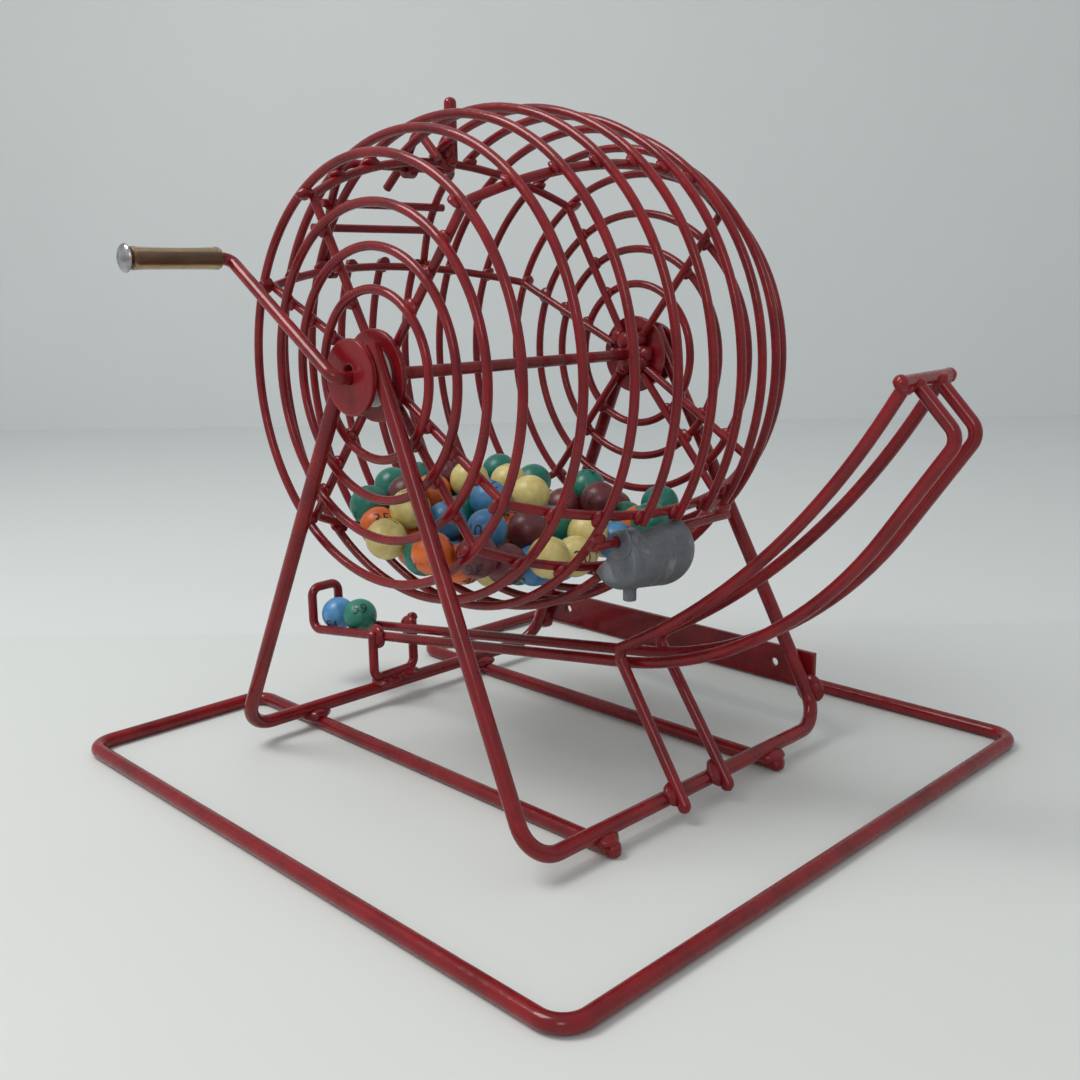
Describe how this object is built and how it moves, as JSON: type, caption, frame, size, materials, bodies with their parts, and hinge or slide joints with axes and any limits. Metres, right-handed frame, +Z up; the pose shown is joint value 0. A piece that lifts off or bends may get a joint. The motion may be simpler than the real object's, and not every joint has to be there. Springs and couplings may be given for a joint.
{
  "type": "bingo cage",
  "caption": "Tabletop wire bingo cage on a bent-wire stand, with crank, hatch door, ball scoop, numbered balls and a curved ball run.",
  "frame": {"origin": "centre of the base rectangle, on the surface that the cage stands on", "axes": "+Z up; +Y along the axle from the crank end to the far hub; +X towards the high end of the ball run"},
  "size_m": [0.4347, 0.383, 0.364],
  "materials": {
    "red_enamel": "glossy brick-red enamel, pooled at the welds",
    "plated_steel": "bright plated steel",
    "washer_plastic": "pale grey plastic",
    "grip_sleeve": "translucent amber-brown sleeve",
    "scoop_plastic": "dark grey moulded plastic, slight metallic sheen",
    "ball_yellow": "satin lacquered ball with a number",
    "ball_blue": "satin lacquered ball with a number",
    "ball_green": "satin lacquered ball with a number",
    "ball_orange": "satin lacquered ball with a number",
    "ball_maroon": "satin lacquered ball with a number"
  },
  "bodies": {
    "stand": {"base_wire": "red_enamel", "front_leg_frame": "red_enamel", "rear_leg_frame": "red_enamel", "near_bearing_disc": "red_enamel", "far_bearing_disc": "red_enamel", "brace_plate": "red_enamel", "track_wire": "red_enamel", "guard_rail_near": "red_enamel", "guard_rail_far": "red_enamel", "run_top_bar": "red_enamel", "track_bracket": "red_enamel"},
    "cage": {"crank_axle": "red_enamel", "grip_cap": "plated_steel", "near_hub_disc": "red_enamel", "far_hub_disc": "red_enamel", "hub_washer": "washer_plastic", "barrel_ring_1": "red_enamel", "barrel_ring_2": "red_enamel", "barrel_ring_3": "red_enamel", "barrel_ring_4": "red_enamel", "barrel_ring_5": "red_enamel", "barrel_ring_6": "red_enamel", "barrel_ring_7": "red_enamel", "barrel_ring_8": "red_enamel", "barrel_ring_9": "red_enamel", "near_cap_ring_small": "red_enamel", "near_cap_ring_middle": "red_enamel", "near_cap_ring_large": "red_enamel", "far_cap_ring_small": "red_enamel", "far_cap_ring_middle": "red_enamel", "far_cap_ring_large": "red_enamel", "rib_a": "red_enamel", "rib_b": "red_enamel", "rib_c": "red_enamel", "rib_d": "red_enamel", "rib_e": "red_enamel", "rib_f": "red_enamel", "scoop_bar": "red_enamel", "latch_post": "red_enamel"},
    "grip": {"crank_grip": "grip_sleeve"},
    "scoop": {"ball_scoop": "scoop_plastic"},
    "door": {"door_frame": "red_enamel", "door_bars": "red_enamel"},
    "latch": {"door_latch": "red_enamel"},
    "ball_load": {"balls_yellow": "ball_yellow", "balls_blue": "ball_blue", "balls_green": "ball_green", "balls_orange": "ball_orange", "balls_maroon": "ball_maroon"},
    "ball_on_track_blue": {"track_ball_blue": "ball_blue"},
    "ball_on_track_green": {"track_ball_green": "ball_green"}
  },
  "joints": [
    {"name": "cage_spin", "type": "hinge", "parent": "stand", "child": "cage", "pos_m": [-0.012, 0, 0.221], "axis": [0, -1, 0], "continuous": true},
    {"name": "grip_spin", "type": "hinge", "parent": "cage", "child": "grip", "pos_m": [-0.09806, -0.159, 0.27796], "axis": [0, -1, 0], "continuous": true},
    {"name": "scoop_tilt", "type": "hinge", "parent": "cage", "child": "scoop", "pos_m": [0.09006, -0.02, 0.14353], "axis": [0, -1, 0], "range_deg": [0, 25]},
    {"name": "door_swing", "type": "hinge", "parent": "cage", "child": "door", "pos_m": [-0.12143, -0.05, 0.27203], "axis": [0.0265, -0.9996, -0.0124], "range_deg": [0, 130]},
    {"name": "latch_press", "type": "hinge", "parent": "door", "child": "latch", "pos_m": [-0.08514, -0.0205, 0.32702], "axis": [0, -1, 0], "range_deg": [0, 25]},
    {"name": "pile_swing", "type": "hinge", "parent": "stand", "child": "ball_load", "pos_m": [-0.012, 0, 0.221], "axis": [0, -1, 0], "range_deg": [-25, 25]},
    {"name": "blue_ball_roll", "type": "slide", "parent": "stand", "child": "ball_on_track_blue", "axis": [0.9905, 0.0675, 0.1201], "range_m": [0, 0.09]},
    {"name": "green_ball_roll", "type": "slide", "parent": "stand", "child": "ball_on_track_green", "axis": [0.9905, 0.0675, 0.1201], "range_m": [0, 0.09]}
  ],
  "couplings": [
    {"joint": "green_ball_roll", "follows": "blue_ball_roll", "ratio": 1}
  ]
}
